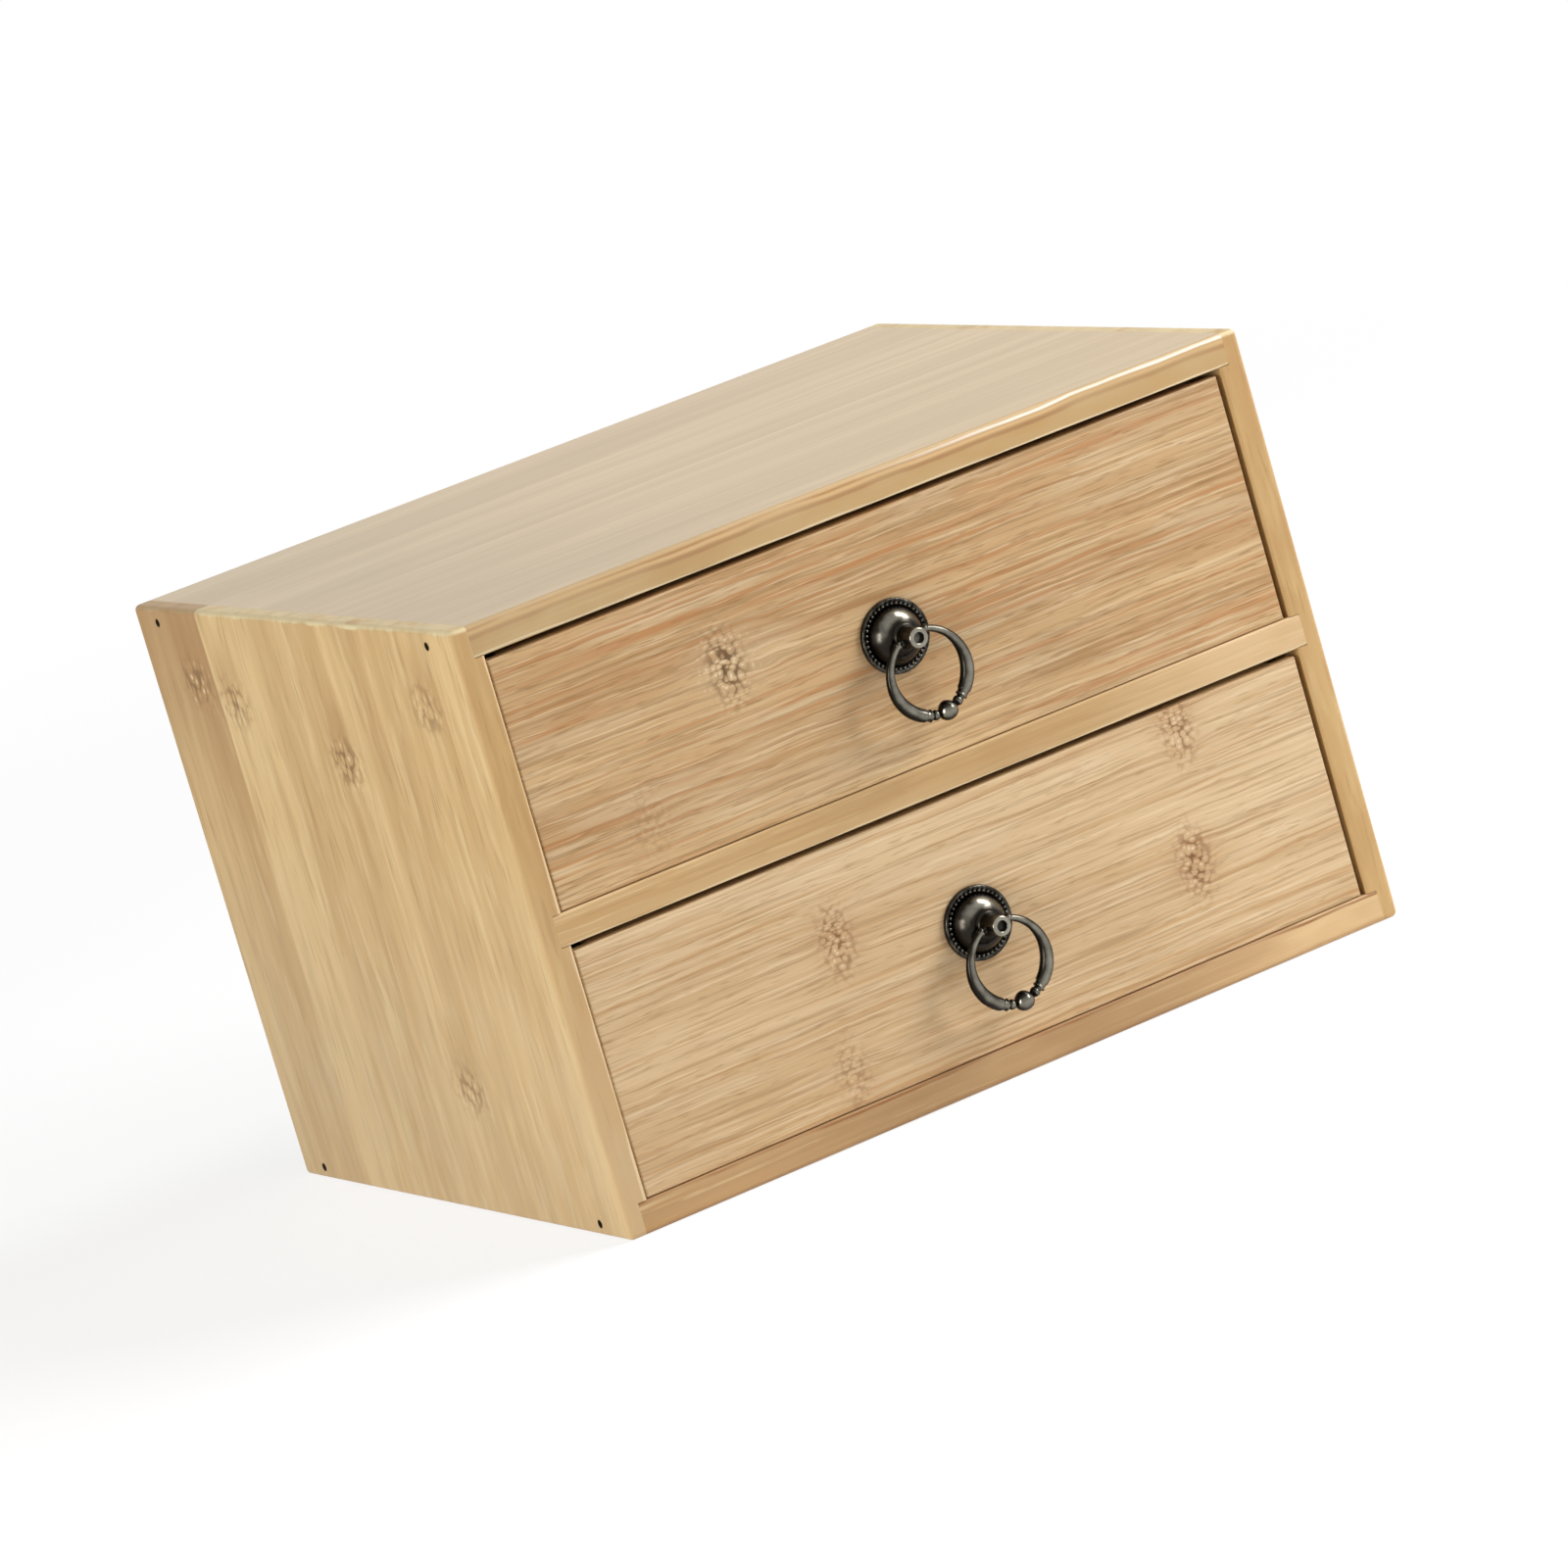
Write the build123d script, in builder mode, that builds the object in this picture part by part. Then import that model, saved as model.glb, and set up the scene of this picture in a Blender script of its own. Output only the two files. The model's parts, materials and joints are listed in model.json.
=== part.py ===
from build123d import *
import os
from math import asin, cos, degrees, radians, sin, sqrt

# Two-drawer desktop organizer of flat-pressed bamboo boards, with cast ring pulls.
# X runs to the right, Y to the back, Z up. The origin is the centre of the underside.

# Carcass
overall_width = 250.0
overall_depth = 200.0
overall_height = 170.0
side_thickness = 8.0
top_thickness = 9.0
shelf_thickness = 9.0
bottom_thickness = 9.0
housing_depth = 3.0          # how far boards run into the sides
outer_round = 1.6            # sanded outer edges
inner_ease = 0.8             # eased edges round the drawer openings

# Back panel, held in a groove all round
back_thickness = 4.0
back_inset = 5.0             # from the rear edges to the panel's rear face
back_fit = 0.1               # clearance on each face and edge of the panel

# Brads, sunk under the surface
brad_diameter = 2.2
brad_length = 18.0
brad_sink = 1.2
brad_fit = 0.02              # radial clearance of a brad in its hole
brad_front_distance = 16.0   # carcass brads, from the front edges
brad_rear_distance = 14.0
brad_drop = 1.0              # bottom brads, under the middle of the board

# Drawers, resting to the left and low in their openings
drawer_gap_left = 0.2
drawer_gap_right = 1.6
drawer_gap_top = 1.8
drawer_gap_under = 0.2
drawer_gap_behind = 0.8
drawer_setback = 0.4         # front face behind the carcass's front edges
drawer_front_thickness = 8.0
drawer_front_ease = 0.6
drawer_side_thickness = 6.0
drawer_side_drop = 3.0       # the sides end this far under the top of the front
drawer_lap = 4.0             # what the front leaves in front of the sides
drawer_back_thickness = 6.0
drawer_base_thickness = 3.0
drawer_base_lift = 5.0       # from the lower edges to the base's underside
drawer_groove_depth = 3.0
drawer_base_fit = 0.1
drawer_brad_length = 16.0
drawer_brad_edge_distance = 16.0

# Ring pull: rosette
rosette_radius = 10.3
rosette_plate = 1.1
rosette_crest_radius = 0.6   # half-round border on the plate's edge
rosette_ridge_count = 40     # radial ridges between the border and the dome
rosette_ridge_radius = 0.4
dome_radius = 8.2
dome_height = 5.2            # over the plate
dome_wall = 1.3

# Ring pull: post and screw
post_length = 14.0           # from the drawer front to the tip
post_foot_radius = 4.0
post_foot_edge = 0.3
post_foot_cove = 0.9         # radius of the hollow curve from the foot to the stem
post_tip_radius = 2.8
post_tip_ease = 0.4
post_hollow_radius = 1.5
post_hollow_depth = 1.4
post_spigot_radius = 2.3
post_spigot_fit = 0.1
post_spigot_gap = 0.4        # between the spigot's end and the drawer front
post_bore_depth = 7.0
screw_radius = 1.5
screw_thread_fit = 0.03
screw_hole_fit = 0.2
screw_end_gap = 0.8
screw_head_radius = 2.9
screw_head_height = 2.0
screw_head_ease = 1.2

# Ring pull: drop ring, hinged in the post's cross hole
hinge_distance = 9.6         # from the drawer front to the hinge axis
ring_radius = 11.7
ring_thin_radius = 0.9
ring_middle_radius = 1.5
ring_thick_radius = 1.95
ring_shoulder_radius = 1.75
ring_middle_angle = 97.0     # from the ball, round the ring
ring_thick_angle = 55.0
ring_shoulder_angle = 26.0
ring_neck_radius = 1.1
ring_collar_radius = 1.45
ring_collar_angle = 19.5
ring_ball_radius = 2.8
ring_bead_radius = 1.2
ring_bead_gap = 0.3          # between the end beads and the post
ring_pin_radius = 0.8
ring_pin_fit = 0.06
ring_pin_gap = 2.4           # between the two pins, inside the post
upper_pull_turn = 11.5       # degrees that the post is turned on its screw
lower_pull_turn = 6.0
upper_pull_raise = 1.0       # over the middle of the drawer front
lower_pull_raise = 0.0

# Places worked out from the sizes above
half_width = overall_width / 2
half_depth = overall_depth / 2
inner_half_width = half_width - side_thickness
board_length = 2 * (inner_half_width + housing_depth)
ceiling_z = overall_height - top_thickness
opening_height = (ceiling_z - bottom_thickness - shelf_thickness) / 2
shelf_z = bottom_thickness + opening_height
back_rear_y = half_depth - back_inset
back_front_y = back_rear_y - back_thickness
groove_width = back_thickness + 2 * back_fit
groove_y = (back_front_y + back_rear_y) / 2
shelf_rear_y = groove_y - groove_width / 2
brad_ys = (-half_depth + brad_front_distance, half_depth - brad_rear_distance)
bottom_brad_z = bottom_thickness / 2 - brad_drop
top_brad_z = overall_height - top_thickness / 2
brad_zs = (bottom_brad_z, top_brad_z)
brad_hole_radius = brad_diameter / 2 + brad_fit
along_x = (0, 90, 0)         # turns an upright solid onto the local X axis

os.makedirs("parts", exist_ok=True)


def keep(piece, name):
    piece.part.label = name
    export_step(piece.part, f"parts/{name}.step")


# Left side: rabbets for the top and bottom, a dado for the shelf, a groove for the back
with BuildPart() as left_side:
    with BuildSketch(Plane.YZ.offset(-half_width)):
        with Locations((0, overall_height / 2)):
            Rectangle(overall_depth, overall_height)
    extrude(amount=side_thickness)
    with BuildSketch(Plane.YZ.offset(-inner_half_width)):
        with Locations((0, overall_height)):
            Rectangle(overall_depth, top_thickness, align=(Align.CENTER, Align.MAX))
        with Locations((0, 0)):
            Rectangle(overall_depth, bottom_thickness, align=(Align.CENTER, Align.MIN))
        with Locations((-half_depth, shelf_z)):
            Rectangle(half_depth + shelf_rear_y, shelf_thickness, align=(Align.MIN, Align.MIN))
        with Locations((groove_y, 0)):
            Rectangle(groove_width, overall_height, align=(Align.CENTER, Align.MIN))
    extrude(amount=-housing_depth, mode=Mode.SUBTRACT)
    outer_edges = left_side.faces().sort_by(Axis.X)[0].edges()
    cross_edges = left_side.edges().filter_by(Axis.X)
    lip_edges = cross_edges.filter_by_position(Axis.Z, 0, 0)
    lip_edges += cross_edges.filter_by_position(Axis.Z, overall_height, overall_height)
    lip_ends = lip_edges.group_by(Axis.Y)[0] + lip_edges.group_by(Axis.Y)[-1]
    fillet(outer_edges + lip_ends, radius=outer_round)
    front_edges = left_side.edges().filter_by(Axis.Z).group_by(Axis.Y)[0]
    fillet(front_edges.group_by(Axis.X)[-1], radius=inner_ease)
    with BuildSketch(Plane.YZ.offset(-half_width)):
        with Locations(*[(y, z) for y in brad_ys for z in brad_zs]):
            Circle(brad_hole_radius)
    extrude(amount=side_thickness, mode=Mode.SUBTRACT)
keep(left_side, "left_side")

with BuildPart() as right_side:
    mirror(left_side.part, about=Plane.YZ)
keep(right_side, "right_side")

# Top and bottom boards: housed in the sides, grooved for the back, drilled at the ends for the brads
for board_name, board_z, board_thickness, groove_face_z, groove_way, brad_z in (
    ("top_board", ceiling_z, top_thickness, ceiling_z, 1, top_brad_z),
    ("bottom_board", 0, bottom_thickness, bottom_thickness, -1, bottom_brad_z),
):
    with BuildPart() as board:
        with BuildSketch(Plane.XY.offset(board_z)):
            Rectangle(board_length, overall_depth)
        extrude(amount=board_thickness)
        with BuildSketch(Plane.XY.offset(groove_face_z)):
            with Locations((0, groove_y)):
                Rectangle(board_length, groove_width)
        extrude(amount=groove_way * housing_depth, mode=Mode.SUBTRACT)
        long_edges = board.edges().filter_by(Axis.X)
        outer_z = groove_face_z + groove_way * board_thickness
        fillet(long_edges.filter_by_position(Axis.Z, outer_z, outer_z), radius=outer_round)
        inner_edges = board.edges().filter_by(Axis.X).filter_by_position(Axis.Z, groove_face_z, groove_face_z)
        fillet(inner_edges.group_by(Axis.Y)[0], radius=inner_ease)
        for end in (-1, 1):
            with BuildSketch(Plane.YZ.offset(end * board_length / 2)):
                with Locations(*[(y, brad_z) for y in brad_ys]):
                    Circle(brad_hole_radius)
            extrude(amount=-end * brad_length, mode=Mode.SUBTRACT)
    keep(board, board_name)

# Middle shelf: runs back to the panel, both front edges eased
with BuildPart() as shelf:
    with BuildSketch(Plane.XY.offset(shelf_z)):
        with Locations((0, -half_depth)):
            Rectangle(board_length, half_depth + shelf_rear_y, align=(Align.CENTER, Align.MIN))
    extrude(amount=shelf_thickness)
    fillet(shelf.edges().filter_by(Axis.X).group_by(Axis.Y)[0], radius=inner_ease)
keep(shelf, "middle_shelf")

with BuildPart() as back_panel:
    with BuildSketch(Plane.XZ.offset(-back_rear_y)):
        with Locations((0, bottom_thickness - housing_depth + back_fit)):
            Rectangle(
                board_length - 2 * back_fit,
                ceiling_z - bottom_thickness + 2 * (housing_depth - back_fit),
                align=(Align.CENTER, Align.MIN),
            )
    extrude(amount=back_thickness)
keep(back_panel, "back_panel")

with BuildPart() as carcass_brads:
    for end in (-1, 1):
        with BuildSketch(Plane.YZ.offset(end * (half_width - brad_sink))):
            with Locations(*[(y, z) for y in brad_ys for z in brad_zs]):
                Circle(brad_diameter / 2)
        extrude(amount=-end * brad_length)
keep(carcass_brads, "carcass_brads")

# Drawer sizes shared by both drawers
drawer_width = 2 * inner_half_width - drawer_gap_left - drawer_gap_right
drawer_x = (drawer_gap_left - drawer_gap_right) / 2
drawer_height = opening_height - drawer_gap_under - drawer_gap_top
drawer_side_height = drawer_height - drawer_side_drop
drawer_face_y = -half_depth + drawer_setback
front_rear_y = drawer_face_y + drawer_front_thickness
side_front_y = drawer_face_y + drawer_lap
drawer_rear_y = back_front_y - drawer_gap_behind
drawer_inner_width = drawer_width - 2 * drawer_side_thickness
base_slot = drawer_base_thickness + 2 * drawer_base_fit
base_width = drawer_inner_width + 2 * (drawer_groove_depth - drawer_base_fit)
base_front_y = front_rear_y - drawer_groove_depth + drawer_base_fit
base_rear_y = drawer_rear_y - drawer_back_thickness + drawer_groove_depth - drawer_base_fit
front_brad_y = (side_front_y + front_rear_y) / 2
back_brad_y = drawer_rear_y - drawer_back_thickness / 2

# Pull places, measured from the drawer front outwards
crest_center = rosette_radius - rosette_crest_radius
ridge_start = dome_radius - rosette_ridge_radius
dome_top = rosette_plate + dome_height
dome_center = (post_foot_radius**2 + dome_top**2 - dome_radius**2 - rosette_plate**2) / (2 * dome_height)
dome_sphere = sqrt(dome_radius**2 + (rosette_plate - dome_center) ** 2)
cavity_sphere = dome_sphere - dome_wall
cavity_rim = sqrt(cavity_sphere**2 - dome_center**2)
spigot_hole = post_spigot_radius + post_spigot_fit
cavity_top = dome_center + sqrt(cavity_sphere**2 - spigot_hole**2)
cove_start = dome_top + post_foot_edge
stem_start = cove_start + post_foot_cove
stem_radius = post_foot_radius - post_foot_cove
post_at_hinge = stem_radius + (post_tip_radius - stem_radius) * (
    (hinge_distance - stem_start) / (post_length - stem_start)
)
bead_x = post_at_hinge + ring_bead_gap + ring_bead_radius
ring_drop = sqrt(ring_radius**2 - bead_x**2)
ring_arm_turn = 180 - degrees(asin(bead_x / ring_radius)) - ring_shoulder_angle
collar_x = ring_radius * sin(radians(ring_collar_angle))
collar_y = -ring_drop - ring_radius * cos(radians(ring_collar_angle))

for level, opening_z, pull_turn, pull_raise in (
    ("upper", shelf_z + shelf_thickness, upper_pull_turn, upper_pull_raise),
    ("lower", bottom_thickness, lower_pull_turn, lower_pull_raise),
):
    drawer_z = opening_z + drawer_gap_under
    side_top_z = drawer_z + drawer_side_height
    base_z = drawer_z + drawer_base_lift
    slot_z = base_z + drawer_base_thickness / 2
    front_z = drawer_z + drawer_height / 2
    pull_z = front_z + pull_raise
    brad_heights = (base_z + drawer_brad_edge_distance, side_top_z - drawer_brad_edge_distance)
    front_plane = Plane.XZ.offset(-drawer_face_y)
    front_rear_plane = Plane.XZ.offset(-front_rear_y)

    # Front: end rabbets for the sides, a groove for the base, the pull's screw hole
    with BuildPart() as drawer_front:
        with BuildSketch(front_plane):
            with Locations((drawer_x, front_z)):
                Rectangle(drawer_width, drawer_height)
        extrude(amount=-drawer_front_thickness)
        face_edges = drawer_front.faces().sort_by(Axis.Y)[0].edges()
        fillet(face_edges, radius=drawer_front_ease)
        with BuildSketch(front_rear_plane):
            for end in (-1, 1):
                with Locations((drawer_x + end * (drawer_inner_width + drawer_side_thickness) / 2, front_z)):
                    Rectangle(drawer_side_thickness, drawer_height)
        extrude(amount=drawer_front_thickness - drawer_lap, mode=Mode.SUBTRACT)
        with BuildSketch(front_rear_plane):
            with Locations((drawer_x, slot_z)):
                Rectangle(drawer_inner_width, base_slot)
        extrude(amount=drawer_groove_depth, mode=Mode.SUBTRACT)
        with BuildSketch(front_plane):
            with Locations((drawer_x, pull_z)):
                Circle(screw_radius + screw_hole_fit)
        extrude(amount=-drawer_front_thickness, mode=Mode.SUBTRACT)
        for end in (-1, 1):
            with BuildSketch(Plane.YZ.offset(drawer_x + end * drawer_inner_width / 2)):
                with Locations(*[(front_brad_y, z) for z in brad_heights]):
                    Circle(brad_hole_radius)
            extrude(amount=-end * drawer_brad_length, mode=Mode.SUBTRACT)
    keep(drawer_front, f"{level}_drawer_front")

    # Sides: grooved for the base, drilled for the brads
    for side_name, end in (("left", -1), ("right", 1)):
        outer_x = drawer_x + end * drawer_width / 2
        with BuildPart() as drawer_side:
            with BuildSketch(Plane.YZ.offset(outer_x)):
                with Locations((side_front_y, drawer_z)):
                    Rectangle(drawer_rear_y - side_front_y, drawer_side_height, align=(Align.MIN, Align.MIN))
            extrude(amount=-end * drawer_side_thickness)
            with BuildSketch(Plane.YZ.offset(outer_x - end * drawer_side_thickness)):
                with Locations((side_front_y, slot_z)):
                    Rectangle(drawer_rear_y - side_front_y, base_slot, align=(Align.MIN, Align.CENTER))
            extrude(amount=end * drawer_groove_depth, mode=Mode.SUBTRACT)
            with BuildSketch(Plane.YZ.offset(outer_x)):
                with Locations(*[(y, z) for y in (front_brad_y, back_brad_y) for z in brad_heights]):
                    Circle(brad_hole_radius)
            extrude(amount=-end * drawer_side_thickness, mode=Mode.SUBTRACT)
        keep(drawer_side, f"{level}_drawer_{side_name}_side")

    # Back: between the sides, grooved for the base
    with BuildPart() as drawer_back:
        with BuildSketch(Plane.XZ.offset(-drawer_rear_y)):
            with Locations((drawer_x, drawer_z)):
                Rectangle(drawer_inner_width, drawer_side_height, align=(Align.CENTER, Align.MIN))
        extrude(amount=drawer_back_thickness)
        with BuildSketch(Plane.XZ.offset(drawer_back_thickness - drawer_rear_y)):
            with Locations((drawer_x, slot_z)):
                Rectangle(drawer_inner_width, base_slot)
        extrude(amount=-drawer_groove_depth, mode=Mode.SUBTRACT)
        for end in (-1, 1):
            with BuildSketch(Plane.YZ.offset(drawer_x + end * drawer_inner_width / 2)):
                with Locations(*[(back_brad_y, z) for z in brad_heights]):
                    Circle(brad_hole_radius)
            extrude(amount=-end * drawer_brad_length, mode=Mode.SUBTRACT)
    keep(drawer_back, f"{level}_drawer_back")

    with BuildPart() as drawer_base:
        with BuildSketch(Plane.XY.offset(base_z)):
            with Locations((drawer_x, base_front_y)):
                Rectangle(base_width, base_rear_y - base_front_y, align=(Align.CENTER, Align.MIN))
        extrude(amount=drawer_base_thickness)
    keep(drawer_base, f"{level}_drawer_base")

    with BuildPart() as drawer_brads:
        for end in (-1, 1):
            with BuildSketch(Plane.YZ.offset(drawer_x + end * (drawer_width / 2 - brad_sink))):
                with Locations(*[(y, z) for y in (front_brad_y, back_brad_y) for z in brad_heights]):
                    Circle(brad_diameter / 2)
            extrude(amount=-end * drawer_brad_length)
    keep(drawer_brads, f"{level}_drawer_brads")

    # Pull: local x runs across the drawer, local y out of the drawer front
    pull_origin = (drawer_x, drawer_face_y, pull_z)
    pull_profile = Plane(origin=pull_origin, x_dir=(1, 0, 0), z_dir=(0, 0, -1))
    pull_face = Plane(origin=pull_origin, x_dir=(1, 0, 0), z_dir=(0, -1, 0))
    pull_axis = Axis(pull_origin, (0, -1, 0))

    # Rosette: cast plate with a half-round border, a hollow dome and radial ridges between them
    with BuildPart(pull_face) as rosette:
        with BuildSketch(pull_profile):
            with BuildLine():
                Polyline((cavity_rim, 0), (rosette_radius, 0), (rosette_radius, rosette_plate))
                CenterArc((crest_center, rosette_plate), rosette_crest_radius, 0, 180)
                Line((crest_center - rosette_crest_radius, rosette_plate), (dome_radius, rosette_plate))
                RadiusArc((dome_radius, rosette_plate), (post_foot_radius, dome_top), -dome_sphere)
                Polyline((post_foot_radius, dome_top), (spigot_hole, dome_top), (spigot_hole, cavity_top))
                RadiusArc((spigot_hole, cavity_top), (cavity_rim, 0), cavity_sphere)
            make_face()
        revolve(axis=pull_axis)
        with Locations((0, 0, rosette_plate)):
            with PolarLocations((ridge_start + crest_center) / 2, rosette_ridge_count):
                Cylinder(rosette_ridge_radius, crest_center - ridge_start, rotation=along_x)
    keep(rosette, f"{level}_pull_rosette")

    # The hinge axis lies across the post, which is turned a little from level
    turn = radians(pull_turn)
    hinge = Vector(drawer_x, drawer_face_y - hinge_distance, pull_z)
    hinge_way = Vector(cos(turn), 0, sin(turn))

    # Post: spigot through the dome, foot, tapered stem with a hollow tip and a cross hole for the ring
    with BuildPart() as post:
        with BuildSketch(pull_profile):
            with BuildLine():
                Polyline(
                    (stem_radius, stem_start),
                    (post_tip_radius, post_length),
                    (post_hollow_radius, post_length),
                    (post_hollow_radius, post_length - post_hollow_depth),
                    (0, post_length - post_hollow_depth),
                    (0, post_spigot_gap + post_bore_depth),
                    (screw_radius + screw_thread_fit, post_spigot_gap + post_bore_depth),
                    (screw_radius + screw_thread_fit, post_spigot_gap),
                    (post_spigot_radius, post_spigot_gap),
                    (post_spigot_radius, dome_top),
                    (post_foot_radius, dome_top),
                    (post_foot_radius, cove_start),
                )
                CenterArc((post_foot_radius, stem_start), post_foot_cove, 180, 90)
            make_face()
        revolve(axis=pull_axis)
        tip_edges = post.faces().sort_by(Axis.Y)[0].edges().sort_by(SortBy.RADIUS)
        fillet(tip_edges[-1], radius=post_tip_ease)
        with BuildSketch(Plane(origin=hinge, x_dir=(0, 1, 0), z_dir=hinge_way)):
            Circle(ring_pin_radius + ring_pin_fit)
        extrude(amount=stem_radius, both=True, mode=Mode.SUBTRACT)
    keep(post, f"{level}_pull_post")

    # Screw from inside the drawer, into the post
    with BuildPart() as screw:
        screw_tip = post_spigot_gap + post_bore_depth - screw_end_gap
        head_top = -drawer_front_thickness - screw_head_height
        with BuildSketch(pull_profile):
            with BuildLine():
                Polyline(
                    (0, screw_tip),
                    (screw_radius, screw_tip),
                    (screw_radius, -drawer_front_thickness),
                    (screw_head_radius, -drawer_front_thickness),
                    (screw_head_radius, head_top),
                    (0, head_top),
                    close=True,
                )
            make_face()
        revolve(axis=pull_axis)
        fillet(screw.faces().sort_by(Axis.Y)[-1].edges(), radius=screw_head_ease)
    keep(screw, f"{level}_pull_screw")

    # Ring: two tapering arms, collars and a ball below, beads and hinge pins at the ends
    ring_plane = Plane(origin=hinge, x_dir=hinge_way, z_dir=(0, -1, 0))
    with BuildPart() as ring:
        with BuildLine(ring_plane) as arm_path:
            CenterArc((0, -ring_drop), ring_radius, ring_shoulder_angle - 90, ring_arm_turn)
        arm_sections = (
            (0, ring_shoulder_radius),
            ((ring_thick_angle - ring_shoulder_angle) / ring_arm_turn, ring_thick_radius),
            ((ring_middle_angle - ring_shoulder_angle) / ring_arm_turn, ring_middle_radius),
            (1, ring_thin_radius),
        )
        for share, section_radius in arm_sections:
            with BuildSketch(Plane(origin=arm_path.line @ share, z_dir=arm_path.line % share)):
                Circle(section_radius)
        sweep(multisection=True)
        mirror(about=Plane(origin=hinge, z_dir=hinge_way))
        with BuildLine(ring_plane) as neck_path:
            CenterArc((0, -ring_drop), ring_radius, -90 - ring_shoulder_angle, 2 * ring_shoulder_angle)
        with BuildSketch(Plane(origin=neck_path.line @ 0, z_dir=neck_path.line % 0)):
            Circle(ring_neck_radius)
        sweep()
        with Locations(ring_plane.location):
            with Locations((0, -ring_drop - ring_radius)):
                Sphere(ring_ball_radius, rotation=along_x)
            for end in (-1, 1):
                with Locations(Location((end * collar_x, collar_y, 0), (0, 0, end * ring_collar_angle))):
                    Sphere(ring_collar_radius, rotation=along_x)
                with Locations((end * bead_x, 0)):
                    Sphere(ring_bead_radius, rotation=along_x)
                with Locations((end * (bead_x + ring_pin_gap / 2) / 2, 0)):
                    Cylinder(ring_pin_radius, bead_x - ring_pin_gap / 2, rotation=along_x)
    keep(ring, f"{level}_pull_ring")
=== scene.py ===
import json
from math import asin, atan2, cos, degrees, pi, radians, sin, sqrt

import bmesh
import bpy
from mathutils import Matrix, Vector


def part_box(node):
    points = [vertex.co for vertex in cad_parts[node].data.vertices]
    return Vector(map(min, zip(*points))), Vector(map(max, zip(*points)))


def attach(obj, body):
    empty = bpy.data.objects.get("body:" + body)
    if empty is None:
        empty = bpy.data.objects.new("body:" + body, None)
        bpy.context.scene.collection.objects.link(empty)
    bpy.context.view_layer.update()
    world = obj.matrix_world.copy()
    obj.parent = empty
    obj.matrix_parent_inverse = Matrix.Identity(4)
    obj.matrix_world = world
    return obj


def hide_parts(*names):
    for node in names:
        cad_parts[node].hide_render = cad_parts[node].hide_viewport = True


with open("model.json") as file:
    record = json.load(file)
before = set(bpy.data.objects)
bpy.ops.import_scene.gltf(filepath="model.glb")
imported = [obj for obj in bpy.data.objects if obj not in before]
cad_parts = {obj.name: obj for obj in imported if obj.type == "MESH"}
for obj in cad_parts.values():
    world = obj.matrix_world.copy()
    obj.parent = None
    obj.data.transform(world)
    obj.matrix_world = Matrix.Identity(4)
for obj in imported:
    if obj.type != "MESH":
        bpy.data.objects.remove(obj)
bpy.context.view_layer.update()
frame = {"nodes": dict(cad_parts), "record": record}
mm = 0.001
print("frame loaded:", len(frame["nodes"]), "CAD nodes")


# Small tools shared by every piece

noiseSpan = (0.3, 0.7)             # what a noise texture's values mostly lie between
noiseMean = 0.5
smoothDetail = 2.0                 # octaves of a soft noise
brokenDetail = 3.0                 # octaves of a noise with ragged edges
bumpStrength = 0.5
white = (1.0, 1.0, 1.0, 1.0)


def hexLinear(code):
    channels = [int(code[i:i + 2], 16) / 255 for i in (1, 3, 5)]
    linear = [c / 12.92 if c <= 0.04045 else ((c + 0.055) / 1.055) ** 2.4 for c in channels]
    return (*linear, 1.0)


def addNode(tree, kind, inputs, **settings):
    node = tree.nodes.new(kind)
    for setting, value in settings.items():
        setattr(node, setting, value)
    for key, value in inputs.items():
        socket = node.inputs[key] if isinstance(key, int) else [
            s for s in node.inputs if s.name == key and s.enabled][0]
        if isinstance(value, bpy.types.Node):
            value = [s for s in value.outputs if s.enabled][0]
        if isinstance(value, bpy.types.NodeSocket):
            tree.links.new(value, socket)
        else:
            socket.default_value = value
    return node


def newMaterial(name):
    material = bpy.data.materials.new(name)
    material.use_nodes = True
    material.node_tree.nodes.clear()
    return material, material.node_tree


def paint(obj, material):
    obj.data.materials.clear()
    obj.data.materials.append(material)


# Flat-pressed bamboo, sanded and sealed with a satin lacquer: straight fibre lines in slats
# of slightly different tone, broken by the short pitted scars of the culm's knuckles

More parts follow.
